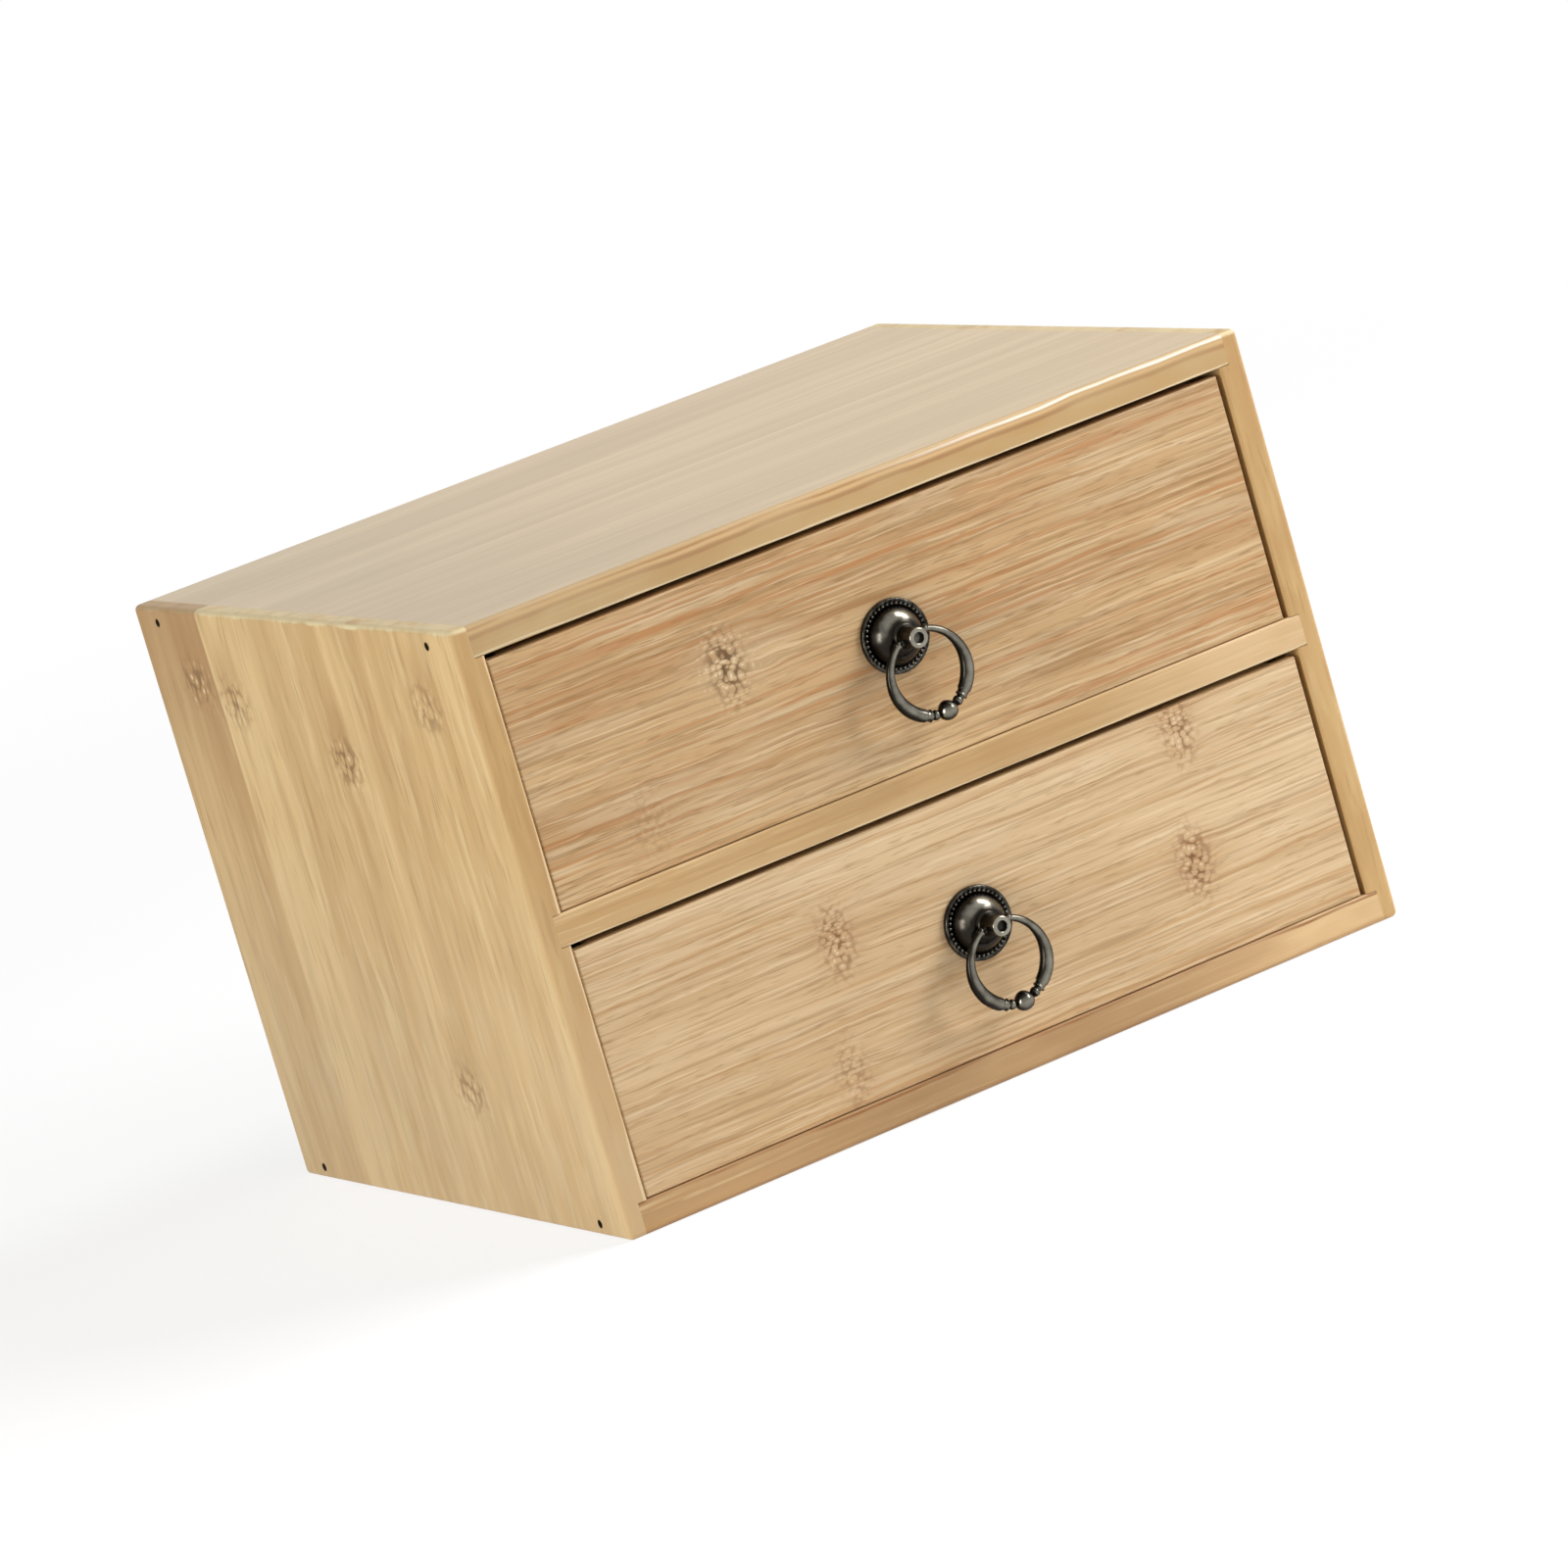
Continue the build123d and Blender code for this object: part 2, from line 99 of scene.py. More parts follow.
bambooLook = {
    "pale": "#d6b67f",
    "deep": "#bf9b64",
    "toneSpan": (0.28, 0.72),      # of the drift's noise, from all deep to all pale
    "slatWidth": 20.3,             # mm
    "slatOffset": 0.08,            # of a slat's width
    "slatContrast": 0.35,
    "slatShift": 800.0,            # mm, how far apart along the culm two slats may come from
    "drift": (240.0, 12.0),        # mm along and across the grain
    "wave": (26.0, 8.0),           # mm along and across the grain
    "waveDepth": 0.4,              # mm, how far the fibres wander
    "seed": 1.0,
    "grain": (                     # mm along, mm across, detail, span of the noise, amount, colour
        (42.0, 5.0, 3, (0.46, 0.72), 0.50, "#b08c56"),
        (26.0, 3.4, 3, (0.48, 0.74), 0.40, "#e2cc9a"),
        (20.0, 1.4, 3, (0.56, 0.72), 0.50, "#9c7743"),
    ),
    "grainShift": (3.7, 5.3, 7.1),  # cells of noise between two layers, so that no two fall together
    "depthScale": 1.0,             # how much finer the grain is through the board's thickness
    "stripes": (),                 # bands of another colour, such as glue lines, painted highlights on arrises and painted shade: axis, mm, half width, amount, colour, and mm along the grain where they start and are full
                                   # and mm along the grain where they start and are full
    "stripeCore": 0.3,             # of the half width, which has a stripe's full colour
    "edge": (),                    # a strip of another colour: mm across the grain where it starts and
                                   # is full, mm along it where it is faint and strong, share that shows
                                   # where it is faint, amount, colour
    "nails": (),                   # mm along and across the grain
    "nailReach": (1.4, 1.1),       # mm, where the painted shade in a nail's hole and the stain round it start and are full
    "nailShadeAndStain": "#241910",
    "knuckles": (),                # mm along and across the grain, and strength
    "knuckleFade": (1.15, 0.1),    # of a mark's half size, where it starts and is full
    "knuckleCell": (1.8, 1.5),     # mm, size of one fibre bundle's scar
    "knuckleWave": 1.2,            # mm, how far a knuckle bends the fibres
    "knuckleDepth": 0.12,          # mm, how far the scars stand up
    "knuckleMarks": (              # mm along, half length, half width, span within a cell, amount, colour
        (0.0, 12.0, 13.0, (-2.0, -1.0), 0.30, "#b08656"),
        (0.0, 6.5, 13.0, (0.50, 0.80), 0.95, "#654829"),
        (0.0, 7.5, 13.0, (0.36, 0.08), 0.75, "#ecd8b6"),
    ),
    "roughness": 0.46,
    "ior": 1.5,
    "specular": 0.25,
    "coat": 0.05,
    "coatRoughness": 0.3,
    "reliefDepth": 0.05,           # mm, what sanding leaves of the fibres
}


def bambooMaterial(name, along, across, depth, look):
    material, tree = newMaterial(name)
    place = addNode(tree, "ShaderNodeTexCoord", {}).outputs["Object"]
    axes = addNode(tree, "ShaderNodeSeparateXYZ", {0: place}).outputs
    flat = addNode(tree, "ShaderNodeCombineXYZ", {0: axes[along], 1: axes[across], 2: axes[depth]})

    # Knuckle scars: a stain, and raised pale bundles with dark seams between them
    scars = []
    fadeStart, fadeFull = look["knuckleFade"]
    for shift, halfLength, halfWidth, span, amount, tint in look["knuckleMarks"]:
        mask = None
        for knuckleAlong, knuckleAcross, strength in look["knuckles"]:
            away = addNode(tree, "ShaderNodeVectorMath", {
                0: flat, 1: ((knuckleAlong + shift) * mm, knuckleAcross * mm, 0)}, operation="SUBTRACT")
            scaled = addNode(tree, "ShaderNodeVectorMath", {
                0: away, 1: (1 / (halfLength * mm), 1 / (halfWidth * mm), 0)}, operation="MULTIPLY")
            reach = addNode(tree, "ShaderNodeVectorMath", {0: scaled}, operation="LENGTH").outputs["Value"]
            spot = addNode(tree, "ShaderNodeMapRange", {
                "Value": reach, "From Min": fadeStart, "From Max": fadeFull, "To Max": strength},
                interpolation_type="SMOOTHSTEP")
            mask = spot if mask is None else addNode(
                tree, "ShaderNodeMath", {0: mask, 1: spot}, operation="MAXIMUM")
        scars.append((mask, span, amount, tint))

    # The fibres wander a little, and more round a knuckle
    length, width = look["wave"]
    waveScale = addNode(tree, "ShaderNodeVectorMath", {
        0: flat, 1: (1 / (length * mm), 1 / (width * mm), 1 / (width * mm))}, operation="MULTIPLY")
    wave = addNode(tree, "ShaderNodeTexNoise", {"Vector": waveScale, "Scale": 1.0, "Detail": smoothDetail})
    sway = addNode(tree, "ShaderNodeMapRange", {
        "Value": wave, "From Min": noiseSpan[0], "From Max": noiseSpan[1],
        "To Min": -look["waveDepth"] * mm, "To Max": look["waveDepth"] * mm})
    if look["knuckles"]:
        bend = addNode(tree, "ShaderNodeMapRange", {
            "Value": scars[0][0], "To Min": 1.0, "To Max": 1 + look["knuckleWave"] / look["waveDepth"]})
        sway = addNode(tree, "ShaderNodeMath", {0: sway, 1: bend}, operation="MULTIPLY")
    bent = addNode(tree, "ShaderNodeMath", {0: axes[across], 1: sway}, operation="ADD")

    # Each slat has its own tone, and its own stretch of the culm
    slatPlace = addNode(tree, "ShaderNodeMath", {
        0: axes[across], 1: 1 / (look["slatWidth"] * mm), 2: look["slatOffset"]}, operation="MULTIPLY_ADD")
    slat = addNode(tree, "ShaderNodeMath", {0: slatPlace}, operation="FLOOR")
    slatSeed = addNode(tree, "ShaderNodeMath", {0: slat, 1: look["seed"]}, operation="ADD")
    slatTone = addNode(tree, "ShaderNodeTexWhiteNoise", {"W": slatSeed}, noise_dimensions="1D")
    shifted = addNode(tree, "ShaderNodeMath", {
        0: slatTone, 1: look["slatShift"] * mm, 2: axes[along]}, operation="MULTIPLY_ADD")
    grain = addNode(tree, "ShaderNodeCombineXYZ", {0: shifted, 1: bent, 2: axes[depth]})

    length, width = look["drift"]
    driftScale = addNode(tree, "ShaderNodeVectorMath", {
        0: grain, 1: (1 / (length * mm), 1 / (width * mm), 1 / (width * mm))}, operation="MULTIPLY")
    drift = addNode(tree, "ShaderNodeTexNoise", {
        "Vector": driftScale, "Scale": 1.0, "Detail": smoothDetail})
    toneSum = addNode(tree, "ShaderNodeMath", {
        0: slatTone, 1: look["slatContrast"], 2: drift}, operation="MULTIPLY_ADD")
    toneLow, toneHigh = [limit + noiseMean * look["slatContrast"] for limit in look["toneSpan"]]
    tone = addNode(tree, "ShaderNodeMapRange", {
        "Value": toneSum, "From Min": toneLow, "From Max": toneHigh}, interpolation_type="SMOOTHSTEP")
    colour = addNode(tree, "ShaderNodeMix", {
        "Factor": tone, "A": hexLinear(look["deep"]), "B": hexLinear(look["pale"])}, data_type="RGBA")

    # Grain, from broad streaks to fine fibres
    relief = None
    for layer, (length, width, detail, span, amount, tint) in enumerate(look["grain"]):
        stretched = addNode(tree, "ShaderNodeVectorMath", {
            0: grain, 1: (1 / (length * mm), 1 / (width * mm), 1 / (width * look["depthScale"] * mm)),
            2: [layer * shift for shift in look["grainShift"]]}, operation="MULTIPLY_ADD")
        noise = addNode(tree, "ShaderNodeTexNoise", {"Vector": stretched, "Scale": 1.0, "Detail": detail})
        shown = addNode(tree, "ShaderNodeMapRange", {
            "Value": noise, "From Min": span[0], "From Max": span[1], "To Max": amount},
            interpolation_type="SMOOTHSTEP")
        colour = addNode(tree, "ShaderNodeMix", {
            "Factor": shown, "A": colour, "B": hexLinear(tint)}, data_type="RGBA")
        relief = noise if relief is None else addNode(
            tree, "ShaderNodeMath", {0: relief, 1: noise}, operation="ADD")

    # Stripes come and go with the wave, so each is doubled to keep its amount on the whole
    for axis, middle, halfWidth, amount, tint, start in look["stripes"]:
        away = addNode(tree, "ShaderNodeMath", {0: axes[axis], 1: middle * mm}, operation="SUBTRACT")
        away = addNode(tree, "ShaderNodeMath", {0: away, 1: sway}, operation="ADD")
        away = addNode(tree, "ShaderNodeMath", {0: away}, operation="ABSOLUTE")
        shown = addNode(tree, "ShaderNodeMapRange", {
            "Value": away, "From Min": halfWidth * mm, "From Max": look["stripeCore"] * halfWidth * mm,
            "To Max": amount / noiseMean})
        held = addNode(tree, "ShaderNodeMath", {0: shown, 1: wave}, operation="MULTIPLY")
        if start:
            begun = addNode(tree, "ShaderNodeMapRange", {
                "Value": axes[along], "From Min": start[0] * mm, "From Max": start[1] * mm})
            held = addNode(tree, "ShaderNodeMath", {0: held, 1: begun}, operation="MULTIPLY")
        colour = addNode(tree, "ShaderNodeMix", {
            "Factor": held, "A": colour, "B": hexLinear(tint)}, data_type="RGBA")

    if look["edge"]:
        (start, full), (faint, strong), least, amount, tint = look["edge"]
        edge = addNode(tree, "ShaderNodeMapRange", {
            "Value": bent, "From Min": start * mm, "From Max": full * mm, "To Max": amount})
        edgeFade = addNode(tree, "ShaderNodeMapRange", {
            "Value": axes[along], "From Min": faint * mm, "From Max": strong * mm, "To Min": least})
        edge = addNode(tree, "ShaderNodeMath", {0: edge, 1: edgeFade}, operation="MULTIPLY")
        colour = addNode(tree, "ShaderNodeMix", {
            "Factor": edge, "A": colour, "B": hexLinear(tint)}, data_type="RGBA")

    if look["knuckles"]:
        length, width = look["knuckleCell"]
        cells = addNode(tree, "ShaderNodeVectorMath", {
            0: grain, 1: (1 / (length * mm), 1 / (width * mm), 1 / (width * mm))}, operation="MULTIPLY")
        mottle = addNode(tree, "ShaderNodeTexVoronoi", {"Vector": cells, "Scale": 1.0}).outputs["Distance"]
        for mask, span, amount, tint in scars:
            shown = addNode(tree, "ShaderNodeMapRange", {
                "Value": mottle, "From Min": span[0], "From Max": span[1], "To Max": amount},
                interpolation_type="SMOOTHSTEP")
            held = addNode(tree, "ShaderNodeMath", {0: shown, 1: mask}, operation="MULTIPLY")
            colour = addNode(tree, "ShaderNodeMix", {
                "Factor": held, "A": colour, "B": hexLinear(tint)}, data_type="RGBA")

        sunk = addNode(tree, "ShaderNodeMath", {0: mottle, 1: scars[1][0]}, operation="MULTIPLY")
        relief = addNode(tree, "ShaderNodeMath", {
            0: sunk, 1: -look["knuckleDepth"] / look["reliefDepth"], 2: relief}, operation="MULTIPLY_ADD")

    # Nail holes go dark: painted shade on each hole's wall, and a stain round its rim
    for nailAlong, nailAcross in look["nails"]:
        away = addNode(tree, "ShaderNodeVectorMath", {
            0: flat, 1: (nailAlong * mm, nailAcross * mm, 0)}, operation="SUBTRACT")
        away = addNode(tree, "ShaderNodeVectorMath", {0: away, 1: (1, 1, 0)}, operation="MULTIPLY")
        reach = addNode(tree, "ShaderNodeVectorMath", {0: away}, operation="LENGTH").outputs["Value"]
        holeShadeAndStain = addNode(tree, "ShaderNodeMapRange", {
            "Value": reach, "From Min": look["nailReach"][0] * mm, "From Max": look["nailReach"][1] * mm})
        colour = addNode(tree, "ShaderNodeMix", {
            "Factor": holeShadeAndStain, "A": colour, "B": hexLinear(look["nailShadeAndStain"])}, data_type="RGBA")

    bump = addNode(tree, "ShaderNodeBump", {
        "Strength": bumpStrength, "Distance": look["reliefDepth"] * mm, "Height": relief})
    shader = addNode(tree, "ShaderNodeBsdfPrincipled", {
        "Base Color": colour, "Roughness": look["roughness"], "IOR": look["ior"], "Normal": bump,
        "Specular IOR Level": look["specular"], "Coat Weight": look["coat"],
        "Coat Roughness": look["coatRoughness"]})
    addNode(tree, "ShaderNodeOutputMaterial", {"Surface": shader})
    return material


# Places on the boards, in mm

sideLow, sideHigh = [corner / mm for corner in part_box("left_side")]
leftX, innerX, frontY, footZ, topZ = sideLow.x, sideHigh.x, sideLow.y, sideLow.z, sideHigh.z
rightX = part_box("right_side")[1].x / mm
middleX = (leftX + rightX) / 2
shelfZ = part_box("middle_shelf")[0].z / mm
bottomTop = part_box("bottom_board")[1].z / mm
allAlong = ()                      # for a stripe that runs from end to end
bradLow, bradHigh = [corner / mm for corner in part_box("carcass_brads")]
bradRadius = 1.1
sideNails = [(z, y) for z in (bradLow.z + bradRadius, bradHigh.z - bradRadius)
             for y in (bradLow.y + bradRadius, bradHigh.y - bradRadius)]

sideBoards = {
    **bambooLook,
    "slatContrast": 0.2,
    "stripes": (
        ("Y", frontY, 1.4, 0.45, "#b88e60", allAlong),
        # pale line along the top arris: painted highlight
        ("Z", topZ - 0.5, 0.9, 0.75, "#e3d3a6", allAlong),
    ),
    "nails": sideNails,
    "knuckleCell": (3.6, 2.1),
    "knuckleMarks": (
        (7.0, 17.0, 11.0, (-2.0, -1.0), 0.50, "#a57a42"),
        (0.0, 9.5, 12.0, (0.48, 0.70), 0.95, "#7d5a2b"),
        (-1.0, 9.5, 12.0, (0.34, 0.08), 0.75, "#ecdbb4"),
    ),
}
leftBoard = {
    **sideBoards,
    "knuckles": (
        (148.8, 71.0, 1.0),
        (143.8, 49.9, 0.8),
        (129.7, -12.1, 1.0),
        (147.6, -72.6, 0.7),
        (36.7, -27.7, 0.7),
    ),
    "edge": ((58.9, 59.7), (100.0, 165.0), 0.18, 0.65, "#9c7140"),
    "stripes": (
        *sideBoards["stripes"],
        # pale line along the inner front arris, beside the drawers: painted highlight
        ("X", innerX - 0.4, 0.5, 0.6, "#ecd3a8", allAlong),
        # paler towards the foot, fading out over 110 mm: painted light
        ("Z", footZ, 110.0, 0.28, "#d8c4a0", allAlong),
    ),
}
rightBoard = {
    **sideBoards,
    "seed": 7.0,
    "knuckles": ((118.0, 34.0, 0.9), (61.0, -18.0, 1.0), (139.0, -66.0, 0.8), (22.0, 71.0, 0.9)),
}
topBoard = {
    **bambooLook,
    "pale": "#cfb486",
    "deep": "#c0a476",
    "grain": (
        (140.0, 9.0, 2, (0.47, 0.72), 0.35, "#b39468"),
        (90.0, 2.4, 2, (0.48, 0.70), 0.18, "#ad8d60"),
        (80.0, 2.0, 2, (0.52, 0.74), 0.22, "#dfc9a0"),
    ),
    "depthScale": 0.35,
    "stripes": (
        ("Y", frontY, 1.8, 0.7, "#bb955c", allAlong),
        ("Z", topZ - 1.3, 0.5, 0.5, "#a8743c", allAlong),
        ("Z", topZ - 2.2, 0.7, 0.5, "#e2ba86", allAlong),
        ("Z", topZ - 3.5, 0.8, 0.55, "#a17142", allAlong),
        # pale line along the lower front arris, over the drawer gap: painted highlight
        ("Z", topZ - 8.6, 0.5, 0.8, "#f0dfb6", allAlong),
        # pale line along the top front arris, from the middle to the right end: painted highlight
        ("Z", topZ - 1.05, 0.6, 0.9, "#faeedb", (0.0, 60.0)),
        # greyer and darker towards the left end: painted shade
        ("X", leftX, 110.0, 0.2, "#947f5d", allAlong),
    ),
    "specular": 0.5,
    "coat": 0.4,
    "coatRoughness": 0.25,
}
railBoards = {
    **bambooLook,
    "pale": "#d6b687",
    "deep": "#c6a373",
    "grain": (
        (120.0, 2.6, 2, (0.47, 0.70), 0.40, "#ba9059"),
        (60.0, 1.0, 3, (0.48, 0.70), 0.35, "#a98556"),
        (50.0, 0.9, 2, (0.52, 0.72), 0.40, "#ead2a5"),
    ),
}
shelfBoard = {
    **railBoards,
    "seed": 4.0,
    "stripes": (
        # paler towards the right end and darker in the middle
        ("X", rightX, 80.0, 0.5, "#e0c298", allAlong),
        ("X", middleX, 90.0, 0.3, "#ae8a5c", allAlong),
        # pale line along the lower front arris, over the lower drawer's gap: painted highlight
        ("Z", shelfZ + 0.4, 0.5, 0.6, "#ecdcb4", allAlong),
    ),
}
bottomBoard = {
    **railBoards,
    "seed": 12.0,
    "pale": "#c2a075",
    "deep": "#ae8a5f",
    "stripes": (
        # paler towards the right end and darker in the middle
        ("X", rightX, 80.0, 0.75, "#dcbc8e", allAlong),
        ("X", middleX, 90.0, 0.6, "#a17d55", allAlong),
        # dark line along the upper front arris, under the lower drawer: painted shade in the gap
        ("Z", bottomTop - 0.5, 0.6, 0.7, "#8f5f35", allAlong),
        # darker along the lower front arris, by the floor: painted shade
        ("Z", footZ + 0.6, 0.8, 0.4, "#9a7248", allAlong),
    ),
}
upperFront = {
    **bambooLook,
    "seed": 21.0,
    "pale": "#d2b183",
    "deep": "#bb9467",
    "waveDepth": 0.3,
    "grain": (
        (50.0, 6.0, 2, (0.47, 0.66), 0.50, "#cfb691"),     # greyed patches
        (130.0, 2.2, 3, (0.51, 0.68), 0.62, "#b37742"),    # red-brown streaks
        (44.0, 0.9, 3, (0.46, 0.66), 0.48, "#937247"),     # dark fibres
        (34.0, 0.8, 2, (0.52, 0.70), 0.38, "#ecd6b0"),     # pale fibres
        (8.0, 0.6, 1, (0.58, 0.72), 0.40, "#87602f"),      # pores
    ),
    "knuckles": ((-50.8, 134.5, 1.0), (-85.0, 103.6, 0.2)),
    "knuckleMarks": (
        (3.0, 24.0, 14.0, (-2.0, -1.0), 0.35, "#d0b691"),
        (0.0, 7.5, 14.0, (0.46, 0.74), 0.95, "#634627"),
        (0.0, 12.0, 14.0, (0.36, 0.08), 0.70, "#ecdcbc"),
    ),
}
lowerFront = {
    **bambooLook,
    "seed": 33.0,
    "pale": "#dabe96",
    "deep": "#c9a97f",
    "waveDepth": 0.3,
    "grain": (
        (50.0, 6.0, 2, (0.47, 0.66), 0.40, "#d8c09c"),     # greyed patches
        (130.0, 1.7, 3, (0.50, 0.68), 0.50, "#b88651"),    # red-brown streaks
        (40.0, 0.8, 3, (0.47, 0.67), 0.48, "#a07d54"),     # dark fibres
        (30.0, 0.8, 2, (0.52, 0.70), 0.36, "#eedab6"),     # pale fibres
        (7.0, 0.6, 1, (0.60, 0.74), 0.35, "#96723f"),      # pores
    ),
    "knuckles": ((74.0, 72.5, 0.9), (-42.5, 54.2, 0.9), (68.4, 36.0, 1.0), (-48.4, 18.2, 0.5)),
    "knuckleMarks": (
        (0.0, 11.0, 13.5, (-2.0, -1.0), 0.32, "#b0835a"),
        (0.0, 7.0, 13.5, (0.48, 0.76), 0.95, "#7d5632"),
        (0.0, 7.0, 13.5, (0.34, 0.08), 0.65, "#f0dcbc"),
    ),
}
boxBoards = {**bambooLook, "pale": "#d9be8f", "deep": "#c7a775"}
thinBoards = {
    **bambooLook,
    "pale": "#dcc69c",
    "deep": "#cdb184",
    "slatWidth": 60.0,
    "coat": 0.0,
    "roughness": 0.6,
}

# Node, the axes along and across the grain and through the board, and the look
boardPlan = [
    ("left_side", "Z", "Y", "X", leftBoard),
    ("right_side", "Z", "Y", "X", rightBoard),
    ("top_board", "X", "Y", "Z", topBoard),
    ("middle_shelf", "X", "Y", "Z", shelfBoard),
    ("bottom_board", "X", "Y", "Z", bottomBoard),
    ("back_panel", "X", "Z", "Y", {**thinBoards, "seed": 3.0}),
    ("upper_drawer_front", "X", "Z", "Y", upperFront),
    ("lower_drawer_front", "X", "Z", "Y", lowerFront),
]
seedStep = 5.0
for level, seed in (("upper", 40.0), ("lower", 60.0)):
    boardPlan += [
        (f"{level}_drawer_left_side", "Y", "Z", "X", {**boxBoards, "seed": seed}),
        (f"{level}_drawer_right_side", "Y", "Z", "X", {**boxBoards, "seed": seed + seedStep}),
        (f"{level}_drawer_back", "X", "Z", "Y", {**boxBoards, "seed": seed + 2 * seedStep}),
        (f"{level}_drawer_base", "X", "Y", "Z", {**thinBoards, "seed": seed + 3 * seedStep}),
    ]
for node, along, across, depth, look in boardPlan:
    paint(frame["nodes"][node], bambooMaterial("lacqueredBamboo." + node, along, across, depth, look))
print("boards dressed:", len(boardPlan))


# Zinc alloy, die cast and antiqued: a near black patina stays in the hollows and the high
# places are rubbed back to a warm grey metal, so edges flash and grooves go dark

castLook = {
    "patina": "#120d0b",
    "worn": "#2d2a25",
    "rubbed": "#949083",
    "halfWorn": 0.5,               # the wear that shows the worn colour alone
    "tarnishSize": 3.5,            # mm
    "tarnishAmount": 0.2,
    "castGrain": 0.3,              # mm
    "castDepth": 0.004,            # mm
    "dull": 0.28,
    "bright": 0.16,
}
castMetal, tree = newMaterial("antiquedZincCasting")
place = addNode(tree, "ShaderNodeTexCoord", {}).outputs["Object"]
# rub: wear, and on the rosette's dome also a painted highlight
rub = addNode(tree, "ShaderNodeAttribute", {}, attribute_name="rub").outputs["Fac"]
tarnish = addNode(tree, "ShaderNodeTexNoise", {
    "Vector": place, "Scale": 1 / (castLook["tarnishSize"] * mm), "Detail": brokenDetail})
tarnishShift = addNode(tree, "ShaderNodeMapRange", {
    "Value": tarnish, "From Min": noiseSpan[0], "From Max": noiseSpan[1],
    "To Min": -castLook["tarnishAmount"] / 2, "To Max": castLook["tarnishAmount"] / 2})
wear = addNode(tree, "ShaderNodeMath", {0: rub, 1: tarnishShift}, operation="ADD")
lowWear = addNode(tree, "ShaderNodeMapRange", {
    "Value": wear, "From Min": 0.0, "From Max": castLook["halfWorn"]})
highWear = addNode(tree, "ShaderNodeMapRange", {
    "Value": wear, "From Min": castLook["halfWorn"], "From Max": 1.0})
colour = addNode(tree, "ShaderNodeMix", {
    "Factor": lowWear, "A": hexLinear(castLook["patina"]),
    "B": hexLinear(castLook["worn"])}, data_type="RGBA")
colour = addNode(tree, "ShaderNodeMix", {
    "Factor": highWear, "A": colour, "B": hexLinear(castLook["rubbed"])}, data_type="RGBA")
gloss = addNode(tree, "ShaderNodeMapRange", {
    "Value": wear, "To Min": castLook["dull"], "To Max": castLook["bright"]})
castNoise = addNode(tree, "ShaderNodeTexNoise", {
    "Vector": place, "Scale": 1 / (castLook["castGrain"] * mm), "Detail": smoothDetail})
bump = addNode(tree, "ShaderNodeBump", {
    "Strength": bumpStrength, "Distance": castLook["castDepth"] * mm, "Height": castNoise})
shader = addNode(tree, "ShaderNodeBsdfPrincipled", {
    "Base Color": colour, "Metallic": 1.0, "Roughness": gloss, "Normal": bump})
addNode(tree, "ShaderNodeOutputMaterial", {"Surface": shader})

# Steel wire, drawn and blackened: dull grey with lengthwise draw lines

wireLook = {
    "light": "#3f3a34",
    "dark": "#1c1916",
    "lineWidth": 0.25,             # mm
    "lineLength": 2.0,             # mm
    "roughness": 0.5,
}
bradSteel, tree = newMaterial("blackenedSteelWire")
place = addNode(tree, "ShaderNodeTexCoord", {}).outputs["Object"]
lines = addNode(tree, "ShaderNodeVectorMath", {
    0: place, 1: (1 / (wireLook["lineLength"] * mm), 1 / (wireLook["lineWidth"] * mm),
                  1 / (wireLook["lineWidth"] * mm))}, operation="MULTIPLY")
drawn = addNode(tree, "ShaderNodeTexNoise", {"Vector": lines, "Scale": 1.0, "Detail": smoothDetail})
colour = addNode(tree, "ShaderNodeMix", {
    "Factor": drawn, "A": hexLinear(wireLook["dark"]), "B": hexLinear(wireLook["light"])}, data_type="RGBA")
shader = addNode(tree, "ShaderNodeBsdfPrincipled", {
    "Base Color": colour, "Metallic": 1.0, "Roughness": wireLook["roughness"]})
addNode(tree, "ShaderNodeOutputMaterial", {"Surface": shader})
for node in ("carcass_brads", "upper_drawer_brads", "lower_drawer_brads"):
    paint(frame["nodes"][node], bradSteel)

# Steel, turned and zinc plated: bright and faintly blue, with duller patches

platedLook = {
    "bright": "#c3c5c6",
    "dull": "#9a9b98",
    "patch": 1.4,                  # mm
    "dullRoughness": 0.42,
    "brightRoughness": 0.22,
}
screwSteel, tree = newMaterial("zincPlatedSteel")
place = addNode(tree, "ShaderNodeTexCoord", {}).outputs["Object"]
patches = addNode(tree, "ShaderNodeTexNoise", {
    "Vector": place, "Scale": 1 / (platedLook["patch"] * mm), "Detail": brokenDetail})
colour = addNode(tree, "ShaderNodeMix", {
    "Factor": patches, "A": hexLinear(platedLook["dull"]),
    "B": hexLinear(platedLook["bright"])}, data_type="RGBA")
gloss = addNode(tree, "ShaderNodeMapRange", {
    "Value": patches, "To Min": platedLook["dullRoughness"], "To Max": platedLook["brightRoughness"]})
shader = addNode(tree, "ShaderNodeBsdfPrincipled", {
    "Base Color": colour, "Metallic": 1.0, "Roughness": gloss})
addNode(tree, "ShaderNodeOutputMaterial", {"Surface": shader})
print("metals mixed")


# Turned and cast pieces of the ring pulls, in mm, with the pull's axis along local Z

weldDistance = 0.002               # points nearer than this become one
sharpAngle = 50                    # degrees, from which an edge isn't shaded smooth


def arcPoints(center, radius, start, end, steps):
    turns = [radians(start + (end - start) * i / steps) for i in range(steps + 1)]
    return [(center[0] + radius * cos(turn), center[1] + radius * sin(turn)) for turn in turns]


def turnedShape(profile, steps, closed):
    shape = bmesh.new()
    corners = [shape.verts.new((radius, 0, height)) for radius, height in profile]
    edges = [shape.edges.new(pair) for pair in zip(corners, corners[1:])]
    if closed:
        edges.append(shape.edges.new((corners[-1], corners[0])))
    bmesh.ops.spin(shape, geom=corners + edges, cent=(0, 0, 0), axis=(0, 0, 1), angle=2 * pi,
                   steps=steps, use_merge=True)
    bmesh.ops.remove_doubles(shape, verts=shape.verts, dist=weldDistance)
    bmesh.ops.recalc_face_normals(shape, faces=shape.faces)
    return shape


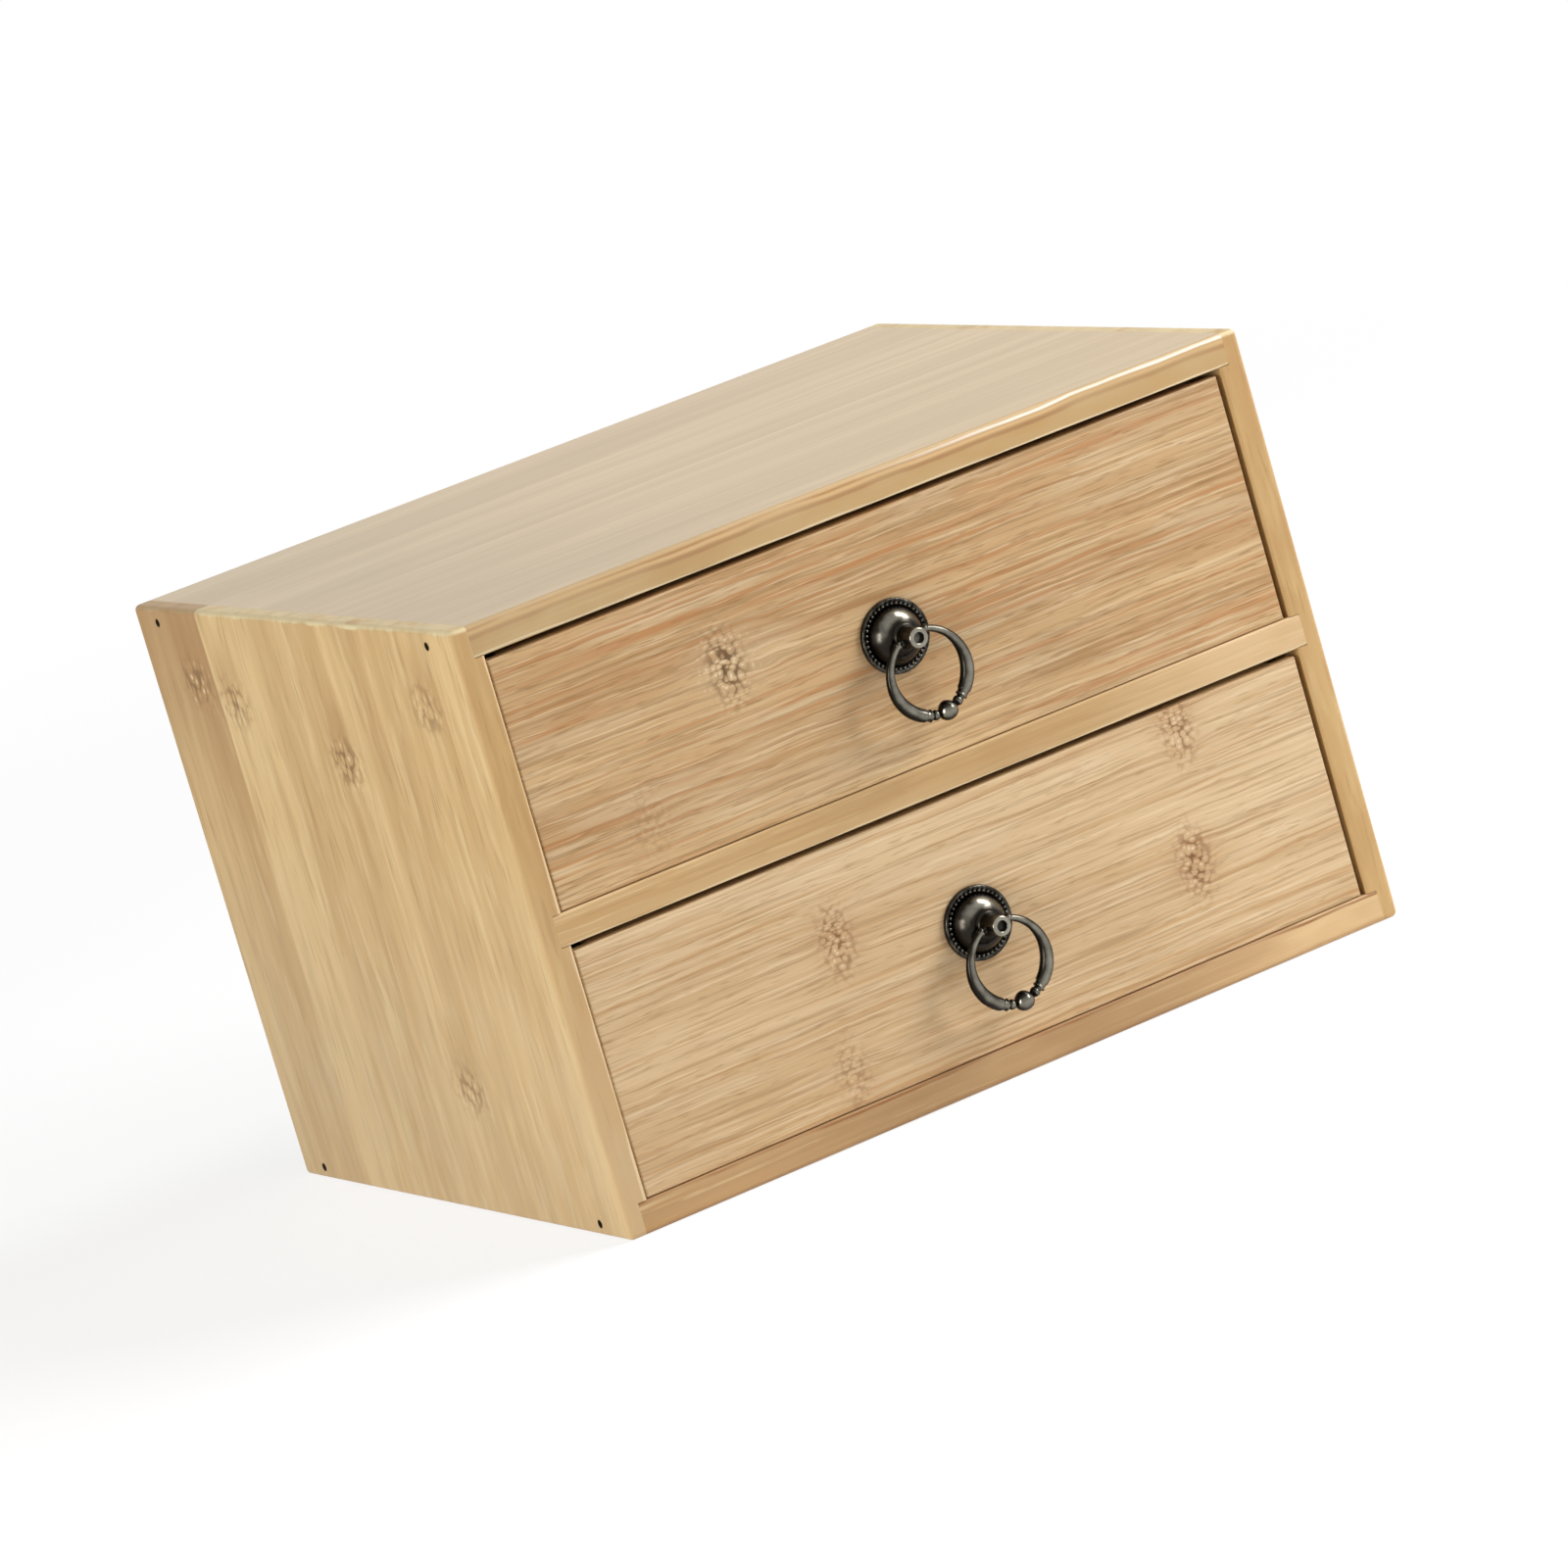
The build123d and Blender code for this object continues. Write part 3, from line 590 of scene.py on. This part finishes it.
def cutShape(shape, cutters):
    solids = []
    for part in [shape] + cutters:
        mesh = bpy.data.meshes.new("cutting")
        part.to_mesh(mesh)
        solid = bpy.data.objects.new("cutting", mesh)
        bpy.context.scene.collection.objects.link(solid)
        solids.append(solid)
    for cutter in solids[1:]:
        cut = solids[0].modifiers.new("cut", "BOOLEAN")
        cut.operation = "DIFFERENCE"
        cut.solver = "EXACT"
        cut.object = cutter
    whole = bpy.data.meshes.new_from_object(solids[0].evaluated_get(bpy.context.evaluated_depsgraph_get()))
    result = bmesh.new()
    result.from_mesh(whole)
    for solid in solids:
        mesh = solid.data
        bpy.data.objects.remove(solid)
        bpy.data.meshes.remove(mesh)
    bpy.data.meshes.remove(whole)
    for part in [shape] + cutters:
        part.free()
    return result


# rubAt gives how far a point is rubbed bright, from 0 to 1, on the dome's upper side partly as a painted
# highlight, and plated pieces have none
def finishPiece(shape, name, place, rubAt, material, body, node):
    if rubAt:
        layer = shape.verts.layers.float.new("rub")
        for vert in shape.verts:
            vert[layer] = rubAt(vert.co)
    bmesh.ops.transform(shape, matrix=place, verts=shape.verts)
    mesh = bpy.data.meshes.new(name)
    shape.to_mesh(mesh)
    shape.free()
    mesh.shade_smooth()
    mesh.set_sharp_from_angle(angle=radians(sharpAngle))
    piece = bpy.data.objects.new(name, mesh)
    bpy.context.scene.collection.objects.link(piece)
    paint(piece, material)
    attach(piece, body)
    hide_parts(node)


rosetteLook = {
    "radius": 10.3,
    "plate": 1.1,
    "edge": 0.15,
    "crest": 0.6,                  # radius of the half-round border
    "crestSteps": 10,
    "ridges": 40,
    "ridgeHeight": 0.5,
    "ridgeSteps": (6, 10),         # along and across one ridge
    "ridgeShape": 0.6,             # under 1, so crests are broad and furrows narrow
    "ridgeFloor": 0.7,             # of the plate, over which the ridges are raised
    "ridgeGap": 0.05,              # from the dome to the ridges
    "ridgeClimb": 0.35,            # how far they climb past the middle of the border
    "ridgeEase": (0.3, 0.5),       # length that they rise over at the dome and fall over on the border
    "notch": 0.3,                  # share of the border that the furrows take away
    "domeRadius": 8.2,
    "domeTop": 6.3,
    "domeSteps": 18,
    "footRadius": 4.0,
    "wall": 1.3,
    "hollowSteps": 10,
    "hole": 2.4,
    "domeFoot": 0.2,               # the dome's lowest strip, which is rubbed as the ridges are
    "domeRub": 0.12,
    "rubbedAt": 6.0,               # radius of the dome's shoulder, which hands rub most
    "rubbedReach": 2.2,
    "shoulderRub": 0.3,
    "upperHighlight": 0.45,              # what the shoulder's upper side has on top of that, a painted highlight that leaves the lower side darker as painted shade
    "borderRub": 0.55,
    "borderRubFrom": 0.7,          # height where the border's rub starts
    "borderRubOver": 1.4,          # height that it would take to be rubbed bright
    "ridgeRub": 0.75,
}


def rosetteShape(look):
    top, plate, foot, dome = look["domeTop"], look["plate"], look["footRadius"], look["domeRadius"]
    centre = (foot ** 2 + top ** 2 - dome ** 2 - plate ** 2) / (2 * (top - plate))
    sphere = sqrt(dome ** 2 + (plate - centre) ** 2)
    inner = sphere - look["wall"]
    innerFoot = sqrt(inner ** 2 - centre ** 2)
    radius, edge, crest = look["radius"], look["edge"], look["crest"]
    crestMid = radius - crest
    ridgeLong, ridgeWide = look["ridgeSteps"]
    band = crestMid - crest - dome
    profile = [(innerFoot, 0), (radius - edge, 0), (radius, edge)]
    profile += arcPoints((crestMid, plate), crest, 0, 180, look["crestSteps"])
    profile += [(dome + band * (1 - i / ridgeLong), plate) for i in range(1, ridgeLong)]
    profile += arcPoints((0, centre), sphere, degrees(atan2(plate - centre, dome)),
                         degrees(atan2(top - centre, foot)), look["domeSteps"])
    profile += [(look["hole"], top)]
    profile += arcPoints((0, centre), inner, degrees(asin(sqrt(inner ** 2 - look["hole"] ** 2) / inner)),
                         degrees(atan2(-centre, innerFoot)), look["hollowSteps"])[:-1]
    shape = turnedShape(profile, look["ridges"] * ridgeWide, True)

    ridgeStart, ridgeEnd = dome + look["ridgeGap"], crestMid + look["ridgeClimb"]
    rise, fall = look["ridgeEase"]
    for vert in shape.verts:
        reach = sqrt(vert.co.x ** 2 + vert.co.y ** 2)
        if vert.co.z > look["ridgeFloor"] * plate and ridgeStart < reach < ridgeEnd:
            comb = (1 + cos(look["ridges"] * atan2(vert.co.y, vert.co.x))) / 2
            room = min(1, (ridgeEnd - reach) / fall, (reach - ridgeStart) / rise)
            lift = max(0, plate + look["ridgeHeight"] - vert.co.z)
            vert.co.z += lift * room * comb ** look["ridgeShape"]
            if reach > crestMid - crest:
                vert.co.z -= look["notch"] * room * (1 - comb) * max(0, vert.co.z - plate)
    return shape


def rosetteRubAndHighlight(co, look=rosetteLook):
    reach = sqrt(co.x ** 2 + co.y ** 2)
    # On the dome, a worn band round the shoulder, brighter on its upper side: wear, with a painted highlight
    # above and painted shade below
    if reach < look["domeRadius"] - look["domeFoot"]:
        shoulder = max(0, 1 - abs(reach - look["rubbedAt"]) / look["rubbedReach"])
        upward = max(0, co.y / reach)
        return look["domeRub"] + (look["shoulderRub"] + look["upperHighlight"] * upward) * sin(shoulder * pi / 2)
    if reach > look["radius"] - 2 * look["crest"]:
        return max(0, min(look["borderRub"], (co.z - look["borderRubFrom"]) / look["borderRubOver"]))
    height = (co.z - look["plate"]) / look["ridgeHeight"]
    return look["ridgeRub"] * max(0, min(1, height))


postLook = {
    "length": 14.0,
    "turnSteps": 96,
    "footRadius": 4.0,
    "footEdge": 0.3,
    "cove": 0.9,
    "coveSteps": 8,
    "tipRadius": 2.8,
    "tipEase": 0.45,
    "tipSteps": 6,
    "hollowRadius": 1.5,
    "hollowDepth": 1.4,
    "hollowLip": 0.25,             # radius of its rounded mouth
    "lipSteps": 5,
    "spigotRadius": 2.3,
    "spigotGap": 0.4,
    "boreRadius": 1.53,
    "boreDepth": 7.0,
    "pinHole": 0.86,
    "pinHoleSides": 32,
    "hollowSlack": 0.05,           # so that points on the hollow's wall count as inside it
    "hollowRub": 0.55,
    "stemRub": 0.42,
    "tipRub": 0.95,
    "tipRubFrom": 0.9,             # below the tip, where its rub starts
    "tipRubOver": 0.8,             # height that it takes to be rubbed bright
}


def stemStart(look, domeTop):
    return domeTop + look["footEdge"] + look["cove"]


def stemRadius(look, domeTop, height):
    start, root = stemStart(look, domeTop), look["footRadius"] - look["cove"]
    return root + (look["tipRadius"] - root) * (height - start) / (look["length"] - start)


def postShape(look, domeTop, hingeDistance, turn):
    foot, tip, length = look["footRadius"], look["tipRadius"], look["length"]
    hollow, lip, ease = look["hollowRadius"], look["hollowLip"], look["tipEase"]
    spigot, bore, gap = look["spigotRadius"], look["boreRadius"], look["spigotGap"]
    hollowEnd, boreTop = length - look["hollowDepth"], gap + look["boreDepth"]
    profile = [(0, hollowEnd), (hollow, hollowEnd)]
    profile += arcPoints((hollow + lip, length - lip), lip, 180, 90, look["lipSteps"])
    profile += arcPoints((tip - ease, length - ease), ease, 90, 0, look["tipSteps"])
    profile += arcPoints((foot, stemStart(look, domeTop)), look["cove"], 180, 270, look["coveSteps"])
    profile += [(foot, domeTop), (spigot, domeTop), (spigot, gap), (bore, gap), (bore, boreTop), (0, boreTop)]
    shape = turnedShape(profile, look["turnSteps"], False)
    drill = bmesh.new()
    along = (Matrix.Translation((0, 0, hingeDistance)) @ Matrix.Rotation(turn, 4, "Z")
             @ Matrix.Rotation(pi / 2, 4, "Y"))
    bmesh.ops.create_cone(drill, cap_ends=True, segments=look["pinHoleSides"], radius1=look["pinHole"],
                          radius2=look["pinHole"], depth=4 * tip, matrix=along)
    return cutShape(shape, [drill])


def postRub(co, look=postLook):
    reach = sqrt(co.x ** 2 + co.y ** 2)
    if reach < look["hollowRadius"] + look["hollowSlack"]:
        return look["hollowRub"]
    height = (co.z - look["length"] + look["tipRubFrom"]) / look["tipRubOver"]
    return max(look["stemRub"], min(look["tipRub"], height))


ringLook = {
    "radius": 11.7,
    "steps": 480,
    "sides": 32,
    "arms": (                      # degrees from the ball, radius
        (26.0, 1.75),
        (40.0, 1.9),
        (60.0, 1.95),
        (80.0, 1.78),
        (97.0, 1.5),
        (120.0, 1.15),
        (158.0, 0.9),
    ),
    "shoulderEase": 0.5,           # radius of the rounding where the arms begin
    "ball": 2.8,
    "neck": 1.05,
    "neckOverlap": 4.0,            # degrees that the neck runs on inside the arms
    "collar": 1.45,
    "collarAngle": 19.5,
    "grooves": (30.5, 33.5),       # degrees from the ball
    "grooveDepth": 0.3,
    "grooveWidth": 0.45,
    "bead": 1.2,
    "beadGap": 0.3,                # from the beads to the post
    "pin": 0.8,
    "pinGap": 2.4,
    "pinSides": 24,
    "darkAngle": 24,               # degrees from the ball, within which thin stretches stay dark
    "darkRadius": 1.3,
    "leastRadius": 0.4,            # thinner stretches are rubbed as if they were this thick
    "backRub": 0.10,
    "frontRub": 0.72,
    "frontSharp": 2.5,             # over 1, so only the very front is rubbed bright
}


def ringSection(distance, look, endPlace):
    angle = degrees(distance / look["radius"])
    armStart = look["arms"][0][0]
    collarPlace = radians(look["collarAngle"]) * look["radius"]
    size = look["neck"] if angle < armStart + look["neckOverlap"] else 0.0
    for place, ball in ((0.0, look["ball"]), (collarPlace, look["collar"]), (endPlace, look["bead"])):
        size = max(size, sqrt(max(0.0, ball ** 2 - (distance - place) ** 2)))
    for (startAngle, startSize), (endAngle, endSize) in zip(look["arms"], look["arms"][1:]):
        if startAngle <= angle <= endAngle:
            share = (angle - startAngle) / (endAngle - startAngle)
            arm = startSize + (endSize - startSize) * share
            edge = (distance - radians(armStart) * look["radius"]) / look["shoulderEase"]
            if edge < 1:
                arm -= look["shoulderEase"] * (1 - sqrt(max(0.0, 1 - (1 - edge) ** 2)))
            for groove in look["grooves"]:
                off = abs(distance - radians(groove) * look["radius"]) / look["grooveWidth"]
                arm -= look["grooveDepth"] * max(0.0, 1 - off ** 2)
            size = max(size, arm)
    return size


def ringShape(look, beadPlace):
    drop = sqrt(look["radius"] ** 2 - beadPlace ** 2)
    endAngle = pi - asin(beadPlace / look["radius"])
    endPlace = endAngle * look["radius"]
    reach = endAngle + look["bead"] / look["radius"]
    shape = bmesh.new()
    start = Matrix.Translation((0, -drop, 0)) @ Matrix.Rotation(-reach, 4, "Z") @ Matrix.Translation(
        (0, -look["radius"], 0)) @ Matrix.Rotation(pi / 2, 4, "Y")
    bmesh.ops.create_circle(shape, segments=look["sides"], radius=1.0, matrix=start)
    bmesh.ops.spin(shape, geom=shape.verts[:] + shape.edges[:], cent=(0, -drop, 0), axis=(0, 0, 1),
                   angle=2 * reach, steps=look["steps"])
    for vert in shape.verts:
        out = Vector((vert.co.x, vert.co.y + drop, 0))
        angle = atan2(out.x, -out.y)
        middle = Vector((0, -drop, 0)) + look["radius"] * out.normalized()
        size = ringSection(abs(angle) * look["radius"], look, endPlace)
        vert.co = middle + (vert.co - middle) * size
    bmesh.ops.remove_doubles(shape, verts=shape.verts, dist=weldDistance)
    bmesh.ops.recalc_face_normals(shape, faces=shape.faces)
    pinLength = beadPlace - look["pinGap"] / 2
    for side in (-1, 1):
        pinMiddle = side * (beadPlace - pinLength / 2)
        place = Matrix.Translation((pinMiddle, 0, 0)) @ Matrix.Rotation(pi / 2, 4, "Y")
        bmesh.ops.create_cone(shape, cap_ends=True, segments=look["pinSides"], radius1=look["pin"],
                              radius2=look["pin"], depth=pinLength, matrix=place)
    return shape, drop, endPlace


def ringRub(look, drop, endPlace):
    def rubAt(co):
        angle = atan2(co.x, -(co.y + drop))
        size = ringSection(abs(angle) * look["radius"], look, endPlace)
        if abs(degrees(angle)) < look["darkAngle"] and size < look["darkRadius"]:
            return 0.0
        front = max(0, min(1, co.z / max(size, look["leastRadius"])))
        return look["backRub"] + look["frontRub"] * front ** look["frontSharp"]
    return rubAt


screwLook = {
    "headRadius": 2.9,
    "headHeight": 2.0,
    "headEdge": 0.1,
    "crown": 1.1,
    "crownSteps": 8,
    "shank": 1.5,
    "tipEase": (0.3, 0.4),         # across and along
    "turnSteps": 64,
    "recess": 1.6,                 # reach of the cross from the middle
    "recessWidth": 0.55,
    "recessDepth": 1.1,
}


def screwShape(look, tip, seat):
    head, shank, crown = seat - look["headHeight"], look["shank"], look["crown"]
    headRadius, headEdge = look["headRadius"], look["headEdge"]
    easeAcross, easeAlong = look["tipEase"]
    profile = [(0, tip), (shank - easeAcross, tip), (shank, tip - easeAlong), (shank, seat)]
    profile += [(headRadius - headEdge, seat), (headRadius, seat - headEdge)]
    profile += arcPoints((headRadius - crown, head + crown), crown, 0, -90, look["crownSteps"])
    profile += [(0, head)]
    shape = turnedShape(profile, look["turnSteps"], False)
    crossSize = Matrix.Diagonal((2 * look["recess"], look["recessWidth"], 2 * look["recessDepth"], 1))
    cross = []
    for turn in (0, pi / 2):
        slot = bmesh.new()
        place = Matrix.Translation((0, 0, head)) @ Matrix.Rotation(turn, 4, "Z") @ crossSize
        bmesh.ops.create_cube(slot, size=1.0, matrix=place)
        cross.append(slot)
    return cutShape(shape, cross)


joints = {joint["name"]: joint for joint in frame["record"]["behaviour"]["joints"]}
for level in ("upper", "lower"):
    low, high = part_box(f"{level}_pull_rosette")
    frontLow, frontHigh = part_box(f"{level}_drawer_front")
    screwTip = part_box(f"{level}_pull_screw")[0].y
    hinge = Vector(joints[f"{level}_ring_swing"]["pos_m"])
    hingeWay = -Vector(joints[f"{level}_ring_swing"]["axis"])
    hingeDistance = (high.y - hinge.y) / mm
    turn = atan2(hingeWay.z, hingeWay.x)
    drawer, ring = f"{level}_drawer", f"{level}_ring"
    pullPlace = Matrix.Translation(((low.x + high.x) / 2, high.y, (low.z + high.z) / 2)) @ Matrix.Rotation(
        pi / 2, 4, "X") @ Matrix.Scale(mm, 4)
    ringPlace = Matrix.Translation(hinge) @ Matrix.Rotation(-turn, 4, "Y") @ Matrix.Rotation(
        pi / 2, 4, "X") @ Matrix.Scale(mm, 4)

    finishPiece(rosetteShape(rosetteLook), f"{level}PullRosette", pullPlace, rosetteRubAndHighlight, castMetal,
                drawer, f"{level}_pull_rosette")
    post = postShape(postLook, rosetteLook["domeTop"], hingeDistance, turn)
    finishPiece(post, f"{level}PullPost", pullPlace, postRub, castMetal,
                drawer, f"{level}_pull_post")

    postAtHinge = stemRadius(postLook, rosetteLook["domeTop"], hingeDistance)
    shape, drop, endPlace = ringShape(ringLook, postAtHinge + ringLook["beadGap"] + ringLook["bead"])
    finishPiece(shape, f"{level}PullRing", ringPlace, ringRub(ringLook, drop, endPlace), castMetal,
                ring, f"{level}_pull_ring")

    screw = screwShape(screwLook, (high.y - screwTip) / mm, (frontLow.y - frontHigh.y) / mm)
    finishPiece(screw, f"{level}PullScrew", pullPlace, None, screwSteel,
                drawer, f"{level}_pull_screw")
print("ring pulls cast and hung")


# Floor, lights and camera, in m

floorLook = {
    "size": 8.0,
    "drop": 0.05 * mm,
    "colour": "#f9f8f6",
    "dim": 0.3,                    # grey that takes the object's shadow
    "glow": 0.78,                  # what lifts that grey to white
    "near": 0.4,                   # from the middle, where the shadow starts to fade into white
    "far": 1.1,
}
floorMesh = bmesh.new()
bmesh.ops.create_grid(floorMesh, x_segments=1, y_segments=1, size=floorLook["size"] / 2)
bmesh.ops.translate(floorMesh, verts=floorMesh.verts, vec=(0, 0, -floorLook["drop"]))
floorData = bpy.data.meshes.new("studioFloor")
floorMesh.to_mesh(floorData)
floorMesh.free()
floor = bpy.data.objects.new("studioFloor", floorData)
bpy.context.scene.collection.objects.link(floor)


# Rays that show the background: the camera's own, and those that a piece mirrors or lets through
def backgroundRays(tree):
    rays = addNode(tree, "ShaderNodeLightPath", {}).outputs
    seen = addNode(tree, "ShaderNodeMath", {
        0: rays["Is Camera Ray"], 1: rays["Is Glossy Ray"]}, operation="MAXIMUM")
    return addNode(tree, "ShaderNodeMath", {
        0: seen, 1: rays["Is Transmission Ray"]}, operation="MAXIMUM")


# White paper sweep: white to the camera and in the object's gloss, with the shadow left in
floorMaterial, tree = newMaterial("whitePaperSweep")
seen = backgroundRays(tree)
paper = addNode(tree, "ShaderNodeBsdfDiffuse", {"Color": hexLinear(floorLook["colour"])})
glow = addNode(tree, "ShaderNodeEmission", {"Color": white, "Strength": floorLook["glow"]})
dimPaper = addNode(tree, "ShaderNodeBsdfDiffuse", {"Color": (*[floorLook["dim"]] * 3, 1)})
nearPaper = addNode(tree, "ShaderNodeAddShader", {0: dimPaper, 1: glow})
farPaper = addNode(tree, "ShaderNodeEmission", {"Color": white, "Strength": 1.0})
place = addNode(tree, "ShaderNodeTexCoord", {}).outputs["Object"]
reach = addNode(tree, "ShaderNodeVectorMath", {0: place}, operation="LENGTH").outputs["Value"]
away = addNode(tree, "ShaderNodeMapRange", {
    "Value": reach, "From Min": floorLook["near"], "From Max": floorLook["far"]},
    interpolation_type="SMOOTHSTEP")
bright = addNode(tree, "ShaderNodeMixShader", {0: away, 1: nearPaper, 2: farPaper})
sweep = addNode(tree, "ShaderNodeMixShader", {0: seen, 1: paper, 2: bright})
addNode(tree, "ShaderNodeOutputMaterial", {"Surface": sweep})
paint(floor, floorMaterial)

worldLook = {"fill": 0.18}
world = bpy.data.worlds.new("studioWorld")
bpy.context.scene.world = world
world.use_nodes = True
tree = world.node_tree
tree.nodes.clear()
brightness = addNode(tree, "ShaderNodeMapRange", {
    "Value": backgroundRays(tree), "To Min": worldLook["fill"], "To Max": 1.0})
sky = addNode(tree, "ShaderNodeBackground", {"Color": white, "Strength": brightness})
addNode(tree, "ShaderNodeOutputWorld", {"Surface": sky})

# Name, place, aim, width and height, watts
lampPlan = (
    ("keySoftbox", (1.0, -0.85, 0.8), (0.0, -0.05, 0.08), (0.6, 0.6), 12.6),
    ("rightSoftbox", (1.05, -0.3, 1.2), (0.0, -0.05, 0.1), (0.42, 0.95), 12.4),
    ("leftSoftbox", (-1.45, -0.45, 0.39), (0.0, 0.0, 0.08), (0.35, 0.76), 13.6),
)
for name, position, aim, size, power in lampPlan:
    lamp = bpy.data.lights.new(name, "AREA")
    lamp.shape = "RECTANGLE"
    lamp.size, lamp.size_y = size
    lamp.energy = power
    holder = bpy.data.objects.new(name, lamp)
    holder.location = position
    holder.rotation_euler = (Vector(aim) - Vector(position)).to_track_quat("-Z", "Y").to_euler()
    bpy.context.scene.collection.objects.link(holder)

cameraLook = {
    "position": (-1.08175, -2.21918, 0.58921),
    "aim": (0.0029, -0.00329, 0.0769),
    "roll": -16.326,               # degrees, the tilt of the photograph
    "lens": 209.103,               # mm
    "sensor": 36.0,                # mm
}
camera = bpy.data.cameras.new("photoCamera")
camera.lens = cameraLook["lens"]
camera.sensor_width = cameraLook["sensor"]
cameraObject = bpy.data.objects.new("photoCamera", camera)
cameraObject.location = cameraLook["position"]
sight = (Vector(cameraLook["aim"]) - Vector(cameraLook["position"])).to_track_quat("-Z", "Y")
turned = sight.to_matrix() @ Matrix.Rotation(radians(cameraLook["roll"]), 3, "Z")
cameraObject.rotation_euler = turned.to_euler()
bpy.context.scene.collection.objects.link(cameraObject)
bpy.context.scene.camera = cameraObject
bpy.context.scene.view_settings.view_transform = "Standard"
print("studio set")
